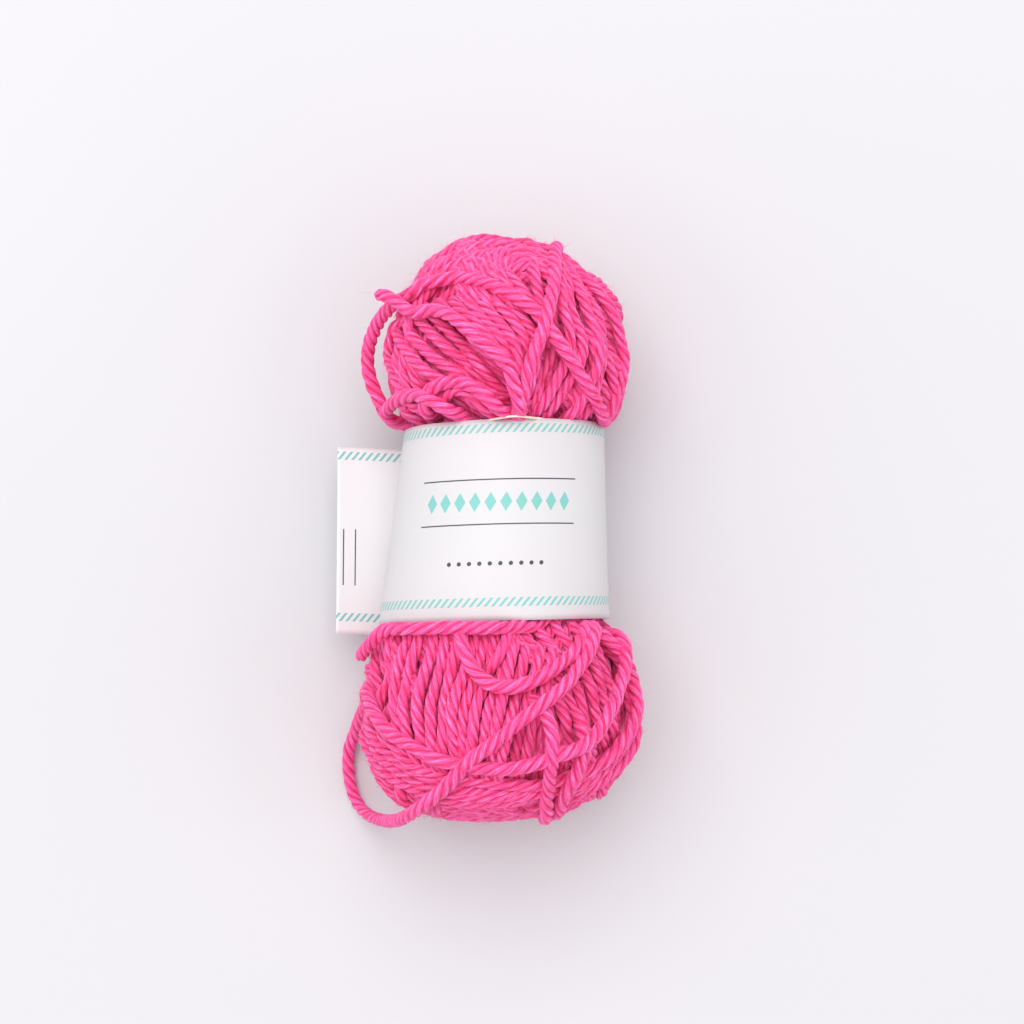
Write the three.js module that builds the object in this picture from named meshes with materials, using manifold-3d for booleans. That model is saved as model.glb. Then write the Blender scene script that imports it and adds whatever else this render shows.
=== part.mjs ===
// Ball of plied yarn lying on its back: a wound form of two lobes, drawn in at its waist by a
// paper band whose end stands off to one side, with two loops and two ends of yarn hanging loose
import * as THREE from "three";
import { mergeVertices } from "three/addons/utils/BufferGeometryUtils.js";
import Module from "manifold-3d";

const wasm = await Module();
wasm.setup();

// Driving sizes in millimetres. Before it is laid down, the ball's axis runs along Y, its larger
// lobe lies towards -Y, and its face looks along +Z.
const DEPTH_SHARE = 0.955; // depth of the wound form as a share of its width
const SIDES_ROUND = 60; // facets round the wound form
const RINGS_PER_ROW = 2; // rings of facets from one section to the next
const AXIS_TILT = THREE.MathUtils.degToRad(2.8); // the small lobe lies lower than the large one
const AXIS_HEIGHT = 24.45; // height of the axis above the table at the middle of the band
const MIDDLE = { x: -3.3, y: 0.42 }; // middle of the ball and its band, seen from above
const YARN = 2.8; // thickness of the yarn
const YARN_SIDES = 8;
const ROOM = 200; // a span larger than the ball, for cutting it off at the table

// Sections of the wound form: half its width, and how far its middle lies to the right of the axis
const SECTIONS = [
  { y: -57.4, half: 0, shift: -0.5 },
  { y: -57.2, half: 9, shift: -0.5 },
  { y: -56.1, half: 16.5, shift: -0.5 },
  { y: -53.5, half: 21.6, shift: -0.4 },
  { y: -49, half: 24.9, shift: -0.2 },
  { y: -44, half: 27.1, shift: -0.3 },
  { y: -39, half: 28, shift: -0.4 },
  { y: -34, half: 27.1, shift: -0.2 },
  { y: -29, half: 26.2, shift: -0.2 },
  { y: -24, half: 25.1, shift: -0.8 },
  { y: -21, half: 23.5, shift: -1.9 },
  { y: -19.7, half: 21.8, shift: -1.8 },
  { y: -18, half: 21.6, shift: -1.7 },
  { y: -6, half: 20.7, shift: -1.1 },
  { y: 6, half: 19.8, shift: -0.5 },
  { y: 18, half: 18.9, shift: 0.1 },
  { y: 19.7, half: 19, shift: 0.2 },
  { y: 21, half: 21.6, shift: 0.3 },
  { y: 24, half: 23.2, shift: 0.5 },
  { y: 28, half: 24.1, shift: 0.6 },
  { y: 33, half: 24.5, shift: 0.8 },
  { y: 38, half: 23.7, shift: 1.2 },
  { y: 43, half: 22.3, shift: 1.0 },
  { y: 47.5, half: 19.3, shift: 0.6 },
  { y: 51.5, half: 16.2, shift: 0.2 },
  { y: 55, half: 12.2, shift: -0.2 },
  { y: 57.3, half: 6.5, shift: -0.4 },
  { y: 58.2, half: 0, shift: -0.4 },
];

// Main twists: bundles of wound yarn that show as broad ridges. Each family would make `ridges` of
// them right round the ball, with a crest that moves `lean` radians of its wave for each millimetre
// along the axis. It shows between two places on the axis, and within `spread` degrees of `angle`,
// which is 0 on the face and 90 on the right.
const TWISTS = [
  { ridges: 10, lean: 0.42, from: 22, to: 50, angle: -25, spread: 62 },
  { ridges: 16, lean: -0.15, from: 21, to: 55, angle: 65, spread: 52 },
  { ridges: 16, lean: -0.18, from: -48, to: -21, angle: -40, spread: 60 },
  { ridges: 12, lean: -0.4, from: -52, to: -21, angle: 45, spread: 50 },
  { ridges: 0, lean: 0.7, from: -57, to: -44, angle: 0, spread: 55 },
  { ridges: 16, lean: 0.12, from: -55, to: -21, angle: 180, spread: 70 },
  { ridges: 14, lean: -0.12, from: 21, to: 55, angle: 180, spread: 70 },
];
const RIDGE = 0.7; // how far a ridge stands out, and a trough lies in
const FADE = { along: 4, round: 14 }; // over which a family fades out, in millimetres and degrees
const BACK = { angle: 180, plain: 30, fade: 25 }; // the back, where the ball lies, has no ridges

// Eyes: the small hollows that the winding leaves at its two ends
const EYES = [
  { x: 4.5, y: 50.5, z: 15.6, radius: 4.2, depth: 1.6 },
  { x: -0.5, y: -57.4, z: 0, radius: 6.5, depth: 1.8 },
];

// Paper band: a ring that widens towards the large lobe, and the straight end that stands off it
const BAND = { width: 38.6, thick: 1, halfTop: 20.2, halfBottom: 23.1, shiftTop: 0.15, shiftBottom: -1.8 };
const BAND_SIDES = 72;
const BEYOND_RING = 1.001; // a point past this share of the ring's outside is on its loose end
// Its loose end leaves the ring at an angle in degrees, runs out to the left and slips down by `drop`
const TAIL = { leaves: 252, reach: 34.3, drop: 2.5, slipFrom: 13, slipTo: 22, steps: 12 };

// Routes of the loose yarn by hand-placed points, as it lies: the first point rests on the ball, and
// an end finishes at its free tip
const CORDS = {
  loop_upper: {
    steps: 16,
    route: [
      [-17.3, 45.2, 36.2],
      [-18.8, 44.5, 35.4],
      [-20.4, 43.7, 34.1],
      [-22.1, 42.8, 31.4],
      [-23.6, 41.8, 28.0],
      [-25.2, 40.2, 25.0],
      [-26.7, 37.2, 22.2],
      [-27.4, 34.0, 20.5],
      [-27.3, 31.0, 19.7],
      [-26.2, 27.6, 19.9],
      [-24.9, 24.9, 20.4],
      [-24.3, 23.5, 20.4],
    ],
  },
  loop_lower: {
    steps: 32,
    route: [
      [-10.2, -48.8, 49.9],
      [-12.3, -50.7, 48.3],
      [-14.8, -53.0, 45.9],
      [-17.1, -55.0, 42.0],
      [-19.4, -56.9, 36.5],
      [-21.4, -58.4, 29.0],
      [-23.6, -59.7, 20.0],
      [-26.2, -60.4, 11.8],
      [-28.8, -59.9, 6.2],
      [-30.8, -58.2, 2.8],
      [-32.2, -55.1, 1.7],
      [-32.8, -50.5, 1.5],
      [-32.4, -46.9, 2.0],
      [-31.1, -43.3, 4.5],
      [-29.8, -40.4, 8.5],
      [-28.6, -38.0, 12.5],
      [-27.7, -35.8, 16.5],
    ],
  },
  end_upper: {
    steps: 14,
    route: [
      [1.6, 29.4, 48.7],
      [-0.5, 31.5, 48.7],
      [-3.3, 34.0, 48.4],
      [-6.2, 36.6, 47.3],
      [-8.4, 38.4, 46.1],
      [-10.4, 40.1, 44.6],
      [-13.9, 41.2, 41.5],
      [-16.0, 40.9, 39.9],
      [-17.7, 41.0, 39.0],
      [-19.2, 42.0, 38.3],
      [-20.9, 43.5, 37.8],
      [-23.1, 44.5, 37.0],
      [-24.9, 44.8, 36.0],
    ],
  },
  end_lower: {
    steps: 16,
    route: [
      [-0.5, -19.0, 49.7],
      [-4.2, -19.1, 49.6],
      [-8.0, -19.3, 49.2],
      [-11.8, -19.5, 48.1],
      [-15.6, -19.7, 46.1],
      [-18.6, -19.8, 43.8],
      [-20.7, -19.9, 41.8],
      [-22.8, -20.3, 39.6],
      [-24.1, -21.4, 38.5],
      [-25.4, -22.9, 36.5],
      [-26.9, -24.6, 32.6],
      [-28.4, -26.2, 28.8],
    ],
  },
};

// Value of a column of the sections at a place on the axis, on straight lines between the rows
function columnAt(key, y) {
  const last = SECTIONS.length - 2;
  const row = Math.min(Math.max(SECTIONS.findIndex((s) => s.y > y) - 1, 0), last);
  const part = (y - SECTIONS[row].y) / (SECTIONS[row + 1].y - SECTIONS[row].y);
  return THREE.MathUtils.lerp(SECTIONS[row][key], SECTIONS[row + 1][key], THREE.MathUtils.clamp(part, 0, 1));
}

// 1 inside a span, fading to 0 over a margin outside it
function within(distance, half, margin) {
  return 1 - THREE.MathUtils.smoothstep(distance, half - margin, half);
}

// Degrees between two directions round the axis
function degreesApart(a, b) {
  return Math.abs(THREE.MathUtils.euclideanModulo(a - b + 180, 360) - 180);
}

// How far the surface stands out or lies in for the twists and eyes at a point of the plain form
function relief(point, around) {
  const degrees = THREE.MathUtils.radToDeg(around);
  let height = 0;
  for (const twist of TWISTS) {
    const middle = (twist.from + twist.to) / 2;
    const along = within(Math.abs(point.y - middle), (twist.to - twist.from) / 2, FADE.along);
    const round = within(degreesApart(degrees, twist.angle), twist.spread, FADE.round);
    height += RIDGE * along * round * Math.cos(twist.ridges * around + twist.lean * point.y);
  }
  const off = degreesApart(degrees, BACK.angle);
  height *= THREE.MathUtils.smoothstep(off, BACK.plain, BACK.plain + BACK.fade);
  for (const eye of EYES) {
    const away = point.distanceTo(new THREE.Vector3(eye.x, eye.y, eye.z)) / eye.radius;
    height -= eye.depth * Math.exp(-away * away);
  }
  return height;
}

// Lays a piece down on the table from the upright frame of the ball
function layDown(geometry) {
  geometry.rotateX(-AXIS_TILT);
  geometry.translate(0, 0, AXIS_HEIGHT);
  return geometry;
}

// Closed mesh as a solid for cutting, without the faces that have no width
function toSolid(geometry) {
  const bare = geometry.clone();
  bare.deleteAttribute("normal");
  bare.deleteAttribute("uv");
  const merged = mergeVertices(bare, 1e-4);
  const index = merged.index.array;
  const faces = [];
  for (let i = 0; i < index.length; i += 3) {
    const [a, b, c] = [index[i], index[i + 1], index[i + 2]];
    if (a !== b && b !== c && c !== a) faces.push(a, b, c);
  }
  const vertProperties = new Float32Array(merged.attributes.position.array);
  return new wasm.Manifold(new wasm.Mesh({ numProp: 3, vertProperties, triVerts: new Uint32Array(faces) }));
}

function toGeometry(solid) {
  const mesh = solid.getMesh();
  const geometry = new THREE.BufferGeometry();
  geometry.setAttribute("position", new THREE.BufferAttribute(mesh.vertProperties, 3));
  geometry.setIndex(new THREE.BufferAttribute(mesh.triVerts, 1));
  geometry.computeVertexNormals();
  return geometry;
}

// The wound form, cut flat where its two lobes lie on the table
function woundBall() {
  const outline = new THREE.SplineCurve(SECTIONS.map((s) => new THREE.Vector2(s.half, s.y)));
  const profile = outline.getPoints((SECTIONS.length - 1) * RINGS_PER_ROW);
  const geometry = new THREE.LatheGeometry(profile, SIDES_ROUND);
  const place = geometry.attributes.position;
  const facing = geometry.attributes.normal;
  const point = new THREE.Vector3();
  const normal = new THREE.Vector3();
  for (let i = 0; i < place.count; i += 1) {
    point.fromBufferAttribute(place, i);
    normal.fromBufferAttribute(facing, i);
    const onAxis = Math.hypot(point.x, point.z) < 1e-6;
    const around = onAxis ? 0 : Math.atan2(point.x, point.z);
    if (onAxis) normal.set(0, Math.sign(point.y), 0);
    point.z *= DEPTH_SHARE;
    point.addScaledVector(normal, relief(point, around));
    point.x += columnAt("shift", point.y);
    place.setXYZ(i, point.x, point.y, point.z);
  }
  layDown(geometry);
  const above = new THREE.BoxGeometry(ROOM, ROOM, ROOM).translate(0, 0, ROOM / 2);
  return toGeometry(toSolid(geometry).intersect(toSolid(above)));
}

// Section of the band: a ring with its end leaving it in a straight line
function bandSection() {
  const outer = { x: BAND.halfBottom, z: BAND.halfBottom * DEPTH_SHARE };
  const inner = { x: outer.x - BAND.thick, z: outer.z - BAND.thick };
  const start = THREE.MathUtils.degToRad(TAIL.leaves);
  const root = new THREE.Vector2(outer.x * Math.cos(start), outer.z * Math.sin(start));
  const along = new THREE.Vector2(outer.x * Math.sin(start), -outer.z * Math.cos(start)).normalize();
  const upward = new THREE.Vector2(along.y, -along.x);
  const length = (TAIL.reach + root.x) / -along.x;
  const lower = [];
  const upper = [];
  for (let i = 0; i <= TAIL.steps; i += 1) {
    const at = root.clone().addScaledVector(along, (length * i) / TAIL.steps);
    lower.push(at);
    upper.push(at.clone().addScaledVector(upward, BAND.thick));
  }
  const points = [...lower].reverse();
  for (let i = 1; i < BAND_SIDES; i += 1) {
    const angle = start + (2 * Math.PI * i) / BAND_SIDES;
    const at = new THREE.Vector2(outer.x * Math.cos(angle), outer.z * Math.sin(angle));
    const off = at.clone().sub(root).dot(upward);
    const onTail = angle > start + Math.PI && off < BAND.thick;
    if (!onTail) points.push(at);
  }
  points.push(...upper.filter((at) => isOnTail(at.x, at.y)));
  const section = new THREE.Shape(points);
  const hole = new THREE.Path();
  hole.absellipse(0, 0, inner.x, inner.z, 0, 2 * Math.PI, true, 0);
  section.holes.push(hole);
  return section;
}

// Whether a point of the section lies outside the ring
function isOnTail(x, z) {
  return Math.hypot(x / BAND.halfBottom, z / (BAND.halfBottom * DEPTH_SHARE)) > BEYOND_RING;
}

// The band, narrowed towards the small lobe, with its end slipped a little towards the large one
function paperBand() {
  const extrude = { depth: BAND.width, steps: 1, curveSegments: BAND_SIDES, bevelEnabled: false };
  const geometry = new THREE.ExtrudeGeometry(bandSection(), extrude);
  geometry.rotateX(Math.PI / 2).translate(0, BAND.width / 2, 0);
  const place = geometry.attributes.position;
  for (let i = 0; i < place.count; i += 1) {
    const [x, y, z] = [place.getX(i), place.getY(i), place.getZ(i)];
    const part = y / BAND.width + 0.5;
    const scale = THREE.MathUtils.lerp(1, BAND.halfTop / BAND.halfBottom, part);
    const shift = THREE.MathUtils.lerp(BAND.shiftBottom, BAND.shiftTop, part);
    const onTail = z < 0 && isOnTail(x, z) ? 1 : 0;
    const slip = TAIL.drop * onTail * THREE.MathUtils.smoothstep(-x, TAIL.slipFrom, TAIL.slipTo);
    const straight = onTail * THREE.MathUtils.smoothstep(-x, TAIL.slipFrom, TAIL.reach);
    const width = THREE.MathUtils.lerp(x * scale + shift, x, straight);
    place.setXYZ(i, width, y - slip, THREE.MathUtils.lerp(z * scale, z, straight));
  }
  return layDown(geometry);
}

// Round yarn along a route through hand-placed points
function looseYarn({ route, steps }) {
  const curve = new THREE.CatmullRomCurve3(route.map((p) => new THREE.Vector3(...p)));
  const round = new THREE.Shape().absarc(0, 0, YARN / 2, 0, 2 * Math.PI);
  return new THREE.ExtrudeGeometry(round, { steps, extrudePath: curve, curveSegments: YARN_SIDES });
}

function piece(name, geometry, color, roughness) {
  const mesh = new THREE.Mesh(geometry, new THREE.MeshStandardMaterial({ color, roughness, metalness: 0 }));
  mesh.name = name;
  return mesh;
}

const PINK = 0xf75797;
const PAPER = 0xf7f2f6;
const wound = new THREE.Group();
wound.position.set(-MIDDLE.x, -MIDDLE.y, 0);
wound.add(piece("ball", woundBall(), PINK, 0.9));
wound.add(piece("band", paperBand(), PAPER, 0.8));
for (const [name, cord] of Object.entries(CORDS)) {
  wound.add(piece(name, looseYarn(cord), PINK, 0.9));
}

const object = new THREE.Group();
object.add(wound);
export default object;
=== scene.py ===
import math

import bpy
import numpy as np
from mathutils import Matrix, Vector
from mathutils.bvhtree import BVHTree
from mathutils.kdtree import KDTree


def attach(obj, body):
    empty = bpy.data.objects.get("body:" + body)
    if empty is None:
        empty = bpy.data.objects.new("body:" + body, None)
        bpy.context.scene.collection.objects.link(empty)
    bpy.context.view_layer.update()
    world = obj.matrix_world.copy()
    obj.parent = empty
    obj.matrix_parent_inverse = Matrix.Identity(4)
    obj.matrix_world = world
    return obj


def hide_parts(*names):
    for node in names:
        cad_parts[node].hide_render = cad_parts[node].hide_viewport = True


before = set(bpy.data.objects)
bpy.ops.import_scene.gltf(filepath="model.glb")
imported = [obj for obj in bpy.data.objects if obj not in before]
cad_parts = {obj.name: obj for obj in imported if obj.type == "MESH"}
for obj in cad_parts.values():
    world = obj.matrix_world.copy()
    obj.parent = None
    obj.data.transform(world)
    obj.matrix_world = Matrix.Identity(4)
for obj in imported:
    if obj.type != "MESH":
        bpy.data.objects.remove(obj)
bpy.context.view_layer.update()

# Lengths below are in millimetres, in the frame in which the ball was wound and laid down: its axis
# runs along Y, its larger lobe lies towards -Y, its face looks along +Z, and the table is at Z 0.
MM = 0.001
MIDDLE = np.array([-3.3, 0.42, 0.0])  # middle of the ball and its band, seen from above
DEPTH_SHARE = 0.955  # depth of the wound form as a share of its width
AXIS_TILT = math.radians(2.8)  # the small lobe lies lower than the large one
AXIS_HEIGHT = 24.45
RNG = np.random.default_rng(7)

# Sections of the wound form: place along the axis, half its width, sideways shift of its middle
SECTIONS = [
    (-57.4, 0, -0.5), (-57.2, 9, -0.5), (-56.1, 16.5, -0.5), (-53.5, 21.6, -0.4), (-49, 24.9, -0.2),
    (-44, 27.1, -0.3), (-39, 28, -0.4), (-34, 27.1, -0.2), (-29, 26.2, -0.2), (-24, 25.1, -0.8),
    (-21, 23.5, -1.9), (-19.7, 21.8, -1.8), (-18, 21.6, -1.7), (-6, 20.7, -1.1), (6, 19.8, -0.5),
    (18, 18.9, 0.1), (19.7, 19, 0.2), (21, 21.6, 0.3), (24, 23.2, 0.5), (28, 24.1, 0.6),
    (33, 24.5, 0.8), (38, 23.7, 1.2), (43, 22.3, 1.0), (47.5, 19.3, 0.6), (51.5, 16.2, 0.2),
    (55, 12.2, -0.2), (57.3, 6.5, -0.4), (58.2, 0, -0.4),
]
FORM_ROWS = 4  # rings from one section to the next
FORM_SIDES = 120
POLE_HALF = 0.3  # least half width of a ring beside a pole

# Yarn: four plies with an S twist
YARN = 2.8  # thickness
PLIES = 4
PLY_SHAPE = (0.71, 0.93, 1.0, 0.93)  # radius across one ply, from its groove, as a share
PACKED = 0.84  # thickness of yarn that lies between others, as a share
TURN = 10.4  # length of one full turn of the twist
RING_STEP = 0.85  # from one ring of vertices to the next
ROUTE_STEP = 0.8

# Layers of the winding
LAYERS_DEPTH = 5.6  # from the wound form's surface down to the core that the first layer lies on
CORE_RISE = 0.35  # how far the core stands into that layer
STACK = 2.2  # rise of a strand that crosses another
SIDE_BY_SIDE = 1.95  # strands this far apart lie beside each other
CROWDED = 9.0  # height at which crossing strands start to press into each other
BEND = 7.0  # radius at which a strand comes down from what it crosses
RISE_BEND = 9.0  # the same where it rises to its loose part
TOP_OVER = -1.35  # from the form's surface to the centres of the outermost strands
DEEPEST = -4.6  # the same for strands pressed onto the core
TOP_REACH, TOP_SOFT, TOP_SHARE = 4.5, 3.0, 85  # reach, softness and percentile of the outside's height
TOP_STEP, TOP_LEAST = 3, 3  # every so many points of the form, and the fewest strand points near one
END_SINKS, END_REACH = 4.5, 7.0  # how far a strand's end goes under others, and over what length
EDGE_RISE = 1.3  # steepest rise of strands beside the band
EDGE_GAP, TABLE_GAP = 0.1, 0.06  # least distance from a strand to the band and to the table
PROUD = 0.9  # how much higher the last strands stand than those they cross
PRESSED = -0.2  # strands higher than this over the form are pressed down
PRESS_SHARE = 0.35  # how much of that height they keep
LIFT_ROOM = 1.6  # lifted strands are pressed only from this many times their lift above it
GAP = 1.9  # places farther than this from every strand get a strand of their own
GAP_REACH = 13.0  # how far that strand goes each way
GAP_LIFT = -0.8
LOW_LOOSE = 3.5  # loose yarn under this height over the form lies on the winding

# Ways of the strands
BAND_HALF = 19.3  # half the width of the band
UNDER_BAND = 5.0  # how far inside the band's edge a strand that comes back ends
SETTING_OUT = 12  # steps in which a strand that starts under the band may leave it
VIEW_DEPTHS = np.linspace(365, 415, 41)  # distances from the camera between which the ball lies
AIM_STEPS, LOOSE_AIM_STEPS = 3, 4  # steps before an end from which its heading is taken
FAN_POINTS = 25
FAN_UNEVEN = 0.12  # how far off its even place a strand of a fan is, as a share of the spacing
WRAP_UNEVEN, LEAN_UNEVEN = 0.15, 1.5  # the same for a wrap, and for its lean in degrees
WRAP_FROM = 3.0  # how far inside the band's edge a wrap starts
WAIST_HALF = 22.0  # from the axis to a wrap's start, before it is put on the form
WRAP_LENGTH = 190.0
# Wraps of each lobe from the inside out: how many strands, the angle round the axis at which they
# start and how far they sweep round it, and how far they lean off its direction, in degrees
SMALL_WRAPS = [(26, 92, 180, 12), (30, 92, 180, 24), (15, 100, 84, -36)]
SMALL_WRAPS += [(8, 140, 42, 16), (5, 78, 26, 20)]
LARGE_WRAPS = [(28, 92, 180, 12), (34, 92, 180, 20), (17, 100, 84, 32)]
LARGE_WRAPS += [(9, 130, 44, -14), (5, 80, 24, -20)]

# Camera, seen from the face: what it looks at, how far off, and how far its view leans
TARGET = np.array([1.8, 2.6, 24.45])
DISTANCE = 403.0
LEAN = math.radians(0.7)
PIXELS_PER_MM = 5.0
IMAGE = 1024
SENSOR = 36.0
TO_CAMERA = np.array([0.0, -math.sin(LEAN), math.cos(LEAN)])
CAMERA_UP = np.array([0.0, math.cos(LEAN), math.sin(LEAN)])
CAMERA_AT = TARGET + DISTANCE * TO_CAMERA

# Routes of the loose yarn: the first point rests on the ball, and an end finishes at its free tip
LOOP_UPPER = [
    (-17.3, 45.2, 36.2), (-18.8, 44.5, 35.4), (-20.4, 43.7, 34.1), (-22.1, 42.8, 31.4),
    (-23.6, 41.8, 28.0), (-25.2, 40.2, 25.0), (-26.7, 37.2, 22.2), (-27.4, 34.0, 20.5),
    (-27.3, 31.0, 19.7), (-26.2, 27.6, 19.9), (-24.9, 24.9, 20.4), (-24.3, 23.5, 20.4),
]
LOOP_LOWER = [
    (-10.2, -48.8, 49.9), (-12.3, -50.7, 48.3), (-14.8, -53.0, 45.9), (-17.1, -55.0, 42.0),
    (-19.4, -56.9, 36.5), (-21.4, -58.4, 29.0), (-23.6, -59.7, 20.0), (-26.2, -60.4, 11.8),
    (-28.8, -59.9, 6.2), (-30.8, -58.2, 2.8), (-32.2, -55.1, 1.7), (-32.8, -50.5, 1.5),
    (-32.4, -46.9, 2.0), (-31.1, -43.3, 4.5), (-29.8, -40.4, 8.5), (-28.6, -38.0, 12.5),
    (-27.7, -35.8, 16.5),
]
END_UPPER = [
    (1.6, 29.4, 48.7), (-0.5, 31.5, 48.7), (-3.3, 34.0, 48.4), (-6.2, 36.6, 47.3), (-8.4, 38.4, 46.1),
    (-10.4, 40.1, 44.6), (-13.9, 41.2, 41.5), (-16.0, 40.9, 39.9), (-17.7, 41.0, 39.0),
    (-19.2, 42.0, 38.3), (-20.9, 43.5, 37.8), (-23.1, 44.5, 37.0), (-24.9, 44.8, 36.0),
]
END_LOWER = [
    (-0.5, -19.3, 49.5), (-4.2, -19.4, 49.4), (-8.0, -19.4, 49.0), (-11.8, -19.5, 48.0),
    (-15.6, -19.7, 46.0), (-18.6, -19.8, 43.8), (-20.7, -19.9, 41.8), (-22.8, -20.3, 39.6),
    (-24.1, -21.4, 38.5), (-25.4, -22.9, 36.5), (-26.9, -24.6, 32.6), (-28.4, -26.2, 28.8),
]


# Small helpers
def to_row(points):
    """Metres in the row frame, from millimetres in the frame of the winding."""
    return (np.asarray(points, float) - MIDDLE) * MM


def unit(vectors):
    return vectors / np.maximum(np.linalg.norm(vectors, axis=-1, keepdims=True), 1e-9)


def spline(points, per_span):
    """A uniform Catmull-Rom spline through the points."""
    points = np.asarray(points, float)
    padded = np.vstack([2 * points[:1] - points[1:2], points, 2 * points[-1:] - points[-2:-1]])
    spans = len(points) - 1
    t = np.linspace(0, spans, spans * per_span + 1)
    i = np.minimum(t.astype(int), spans - 1)
    f = (t - i)[:, None]
    a, b, c, d = (padded[i + k] for k in range(4))
    bends = (2 * a - 5 * b + 4 * c - d) * f**2 + (3 * b - a - 3 * c + d) * f**3
    return 0.5 * (2 * b + (c - a) * f + bends)


def lengths(points):
    """How far along the line each of its points lies."""
    return np.concatenate([[0], np.cumsum(np.linalg.norm(np.diff(points, axis=0), axis=1))])


def at_places(line, places, want):
    """Points of a line at the wanted places, from the places of its own points."""
    return np.stack([np.interp(want, places, column) for column in line.T], 1)


def even_places(far, step):
    """Places at equal steps from 0 to the end of a line."""
    return np.linspace(0, far[-1], max(3, int(round(far[-1] / step)) + 1))


def resampled(points, step):
    """The same line with points at equal steps."""
    far = lengths(points)
    return at_places(points, far, even_places(far, step))


def smoothed(values, reach):
    """Values along a line, each averaged with its neighbours, with both ends kept."""
    span = int(math.ceil(3 * reach))
    kernel = np.exp(-0.5 * (np.arange(-span, span + 1) / reach) ** 2)
    kernel /= kernel.sum()
    values = np.asarray(values, float)
    flat = values.reshape(len(values), -1)
    if len(flat) <= span + 1:
        return values
    before = 2 * flat[0] - flat[1 : span + 1][::-1]
    after = 2 * flat[-1] - flat[-span - 1 : -1][::-1]
    padded = np.vstack([before, flat, after])
    out = np.stack([np.convolve(padded[:, k], kernel, "valid") for k in range(flat.shape[1])], 1)
    return out.reshape(values.shape)


def wander(count, wave, size):
    """A smooth random run of numbers, with about one swing for each wave."""
    knots = max(3, int(count / wave) + 3)
    places = np.linspace(0, knots - 1, count)
    return size * np.interp(places, np.arange(knots), RNG.normal(size=knots))


# Wound form
def laid(x, y, z):
    """Points of the form, its axis along Y through the origin, after it is laid down."""
    cos, sin = math.cos(AXIS_TILT), math.sin(AXIS_TILT)
    return np.stack([x, y * cos + z * sin, AXIS_HEIGHT + z * cos - y * sin], -1)


def along_axis(points):
    """Place of points along the ball's tilted axis."""
    cos, sin = math.cos(AXIS_TILT), math.sin(AXIS_TILT)
    return points[..., 1] * cos - (points[..., 2] - AXIS_HEIGHT) * sin


def ring_faces(rings, sides):
    """Faces of a closed lathe form with a pole before its first ring and after its last."""
    k = np.arange(sides)
    nxt = (k + 1) % sides
    start = np.stack([np.zeros(sides, int), 1 + nxt, 1 + k, 1 + k], 1)
    rows = 1 + sides * np.arange(rings - 1)[:, None]
    walls = np.stack([rows + k, rows + nxt, rows + sides + nxt, rows + sides + k], -1)
    last = 1 + sides * (rings - 1)
    pole = np.full(sides, last + sides)
    end = np.stack([last + k, last + nxt, pole, pole], 1)
    return np.vstack([start, walls.reshape(-1, 4), end])


def point_normals(points, faces):
    """Normal of each vertex, from the faces round it."""
    a, b, c, d = (points[faces[:, k]] for k in range(4))
    face = np.cross(c - a, d - b)
    face = np.where(np.linalg.norm(face, axis=1, keepdims=True) > 1e-9, face, np.cross(b - a, c - a))
    out = np.zeros_like(points)
    for k in range(4):
        np.add.at(out, faces[:, k], face)
    return unit(out)


def wound_form():
    """Vertices, faces and normals of the form that the winding fills."""
    rows = np.array(SECTIONS, float)
    line = spline(rows[:, [1, 0]], FORM_ROWS)
    shift = np.interp(line[:, 1], rows[:, 0], rows[:, 2])
    angle = np.linspace(0, 2 * math.pi, FORM_SIDES, endpoint=False)
    half = np.maximum(line[1:-1, :1], POLE_HALF)
    x = half * np.sin(angle) + shift[1:-1, None]
    z = half * np.cos(angle) * DEPTH_SHARE
    y = line[1:-1, 1:] + 0 * x
    body = laid(x, y, z).reshape(-1, 3)
    poles = laid(shift[[0, -1]], line[[0, -1], 1], np.zeros(2))
    points = np.vstack([poles[:1], body, poles[1:]])
    faces = ring_faces(len(half), FORM_SIDES)
    normals = point_normals(points, faces)
    middle = len(points) // 2
    if normals[middle] @ (points[middle] - TARGET) < 0:
        faces, normals = faces[:, ::-1], -normals
    return points, faces, normals


FORM_POINTS, FORM_FACES, FORM_NORMALS = wound_form()


def tree_of(points, faces):
    """A search tree over faces with repeated corners dropped."""
    return BVHTree.FromPolygons(points.tolist(), [list(dict.fromkeys(f)) for f in faces.tolist()])


FORM = tree_of(FORM_POINTS, FORM_FACES)


def on_form(points):
    """Nearest points on the wound form, and its smooth normals there."""
    found = [FORM.find_nearest(Vector(p)) for p in points]
    at = np.array([f[0] for f in found])
    corners = FORM_FACES[[f[2] for f in found]]
    gaps = np.linalg.norm(FORM_POINTS[corners] - at[:, None], axis=2) + 0.05
    normals = (FORM_NORMALS[corners] / gaps[..., None]).sum(1)
    return at, unit(normals)


def seen_at(pixel):
    """The point of the form that shows at this pixel of the photograph, or that passes nearest."""
    across = (pixel[0] - IMAGE / 2) / PIXELS_PER_MM
    up = (IMAGE / 2 - pixel[1]) / PIXELS_PER_MM
    aim = TARGET + across * np.array([1.0, 0, 0]) + up * CAMERA_UP - CAMERA_AT
    aim /= np.linalg.norm(aim)
    hit = FORM.ray_cast(Vector(CAMERA_AT), Vector(aim))
    if hit[0] is not None:
        return np.array(hit[0])
    tries = [FORM.find_nearest(Vector(CAMERA_AT + aim * t)) for t in VIEW_DEPTHS]
    return np.array(min(tries, key=lambda f: f[3])[0])


def seen(pixels):
    """A line on the form through these pixels of the photograph."""
    line = spline(pixels, per_span=5)
    return resampled(np.array([seen_at(p) for p in line]), ROUTE_STEP)


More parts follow.
